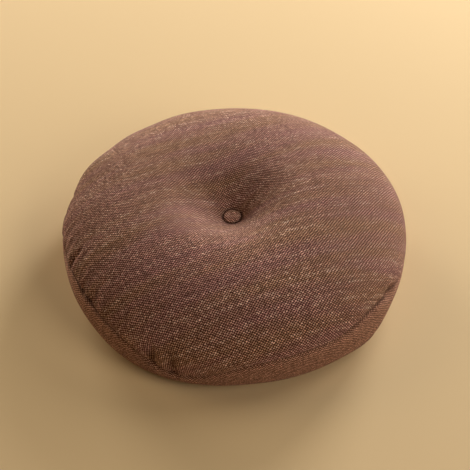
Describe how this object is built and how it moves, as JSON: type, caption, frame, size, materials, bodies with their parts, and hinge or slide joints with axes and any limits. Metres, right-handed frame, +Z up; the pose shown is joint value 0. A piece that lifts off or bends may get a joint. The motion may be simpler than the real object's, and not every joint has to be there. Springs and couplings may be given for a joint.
{
  "type": "round seat cushion",
  "caption": "Round filled seat cushion with a domed top, a sewn side band and a covered button tufted into its middle.",
  "frame": {"origin": "on the surface that the cushion rests on, under the middle of its box", "axes": "+Z is up through the tufted middle, +X is to the right and -Y is towards the viewer"},
  "size_m": [0.4304, 0.432, 0.119],
  "materials": {
    "cushion_cloth": "matt plain weave of uneven slub yarns in warm mauve brown, with pale flecks along the weft",
    "button_cloth": "the cushion's cloth drawn tight over a domed button"
  },
  "bodies": {
    "root": {"cushion": "cushion_cloth", "tuft_button": "button_cloth"}
  },
  "joints": []
}
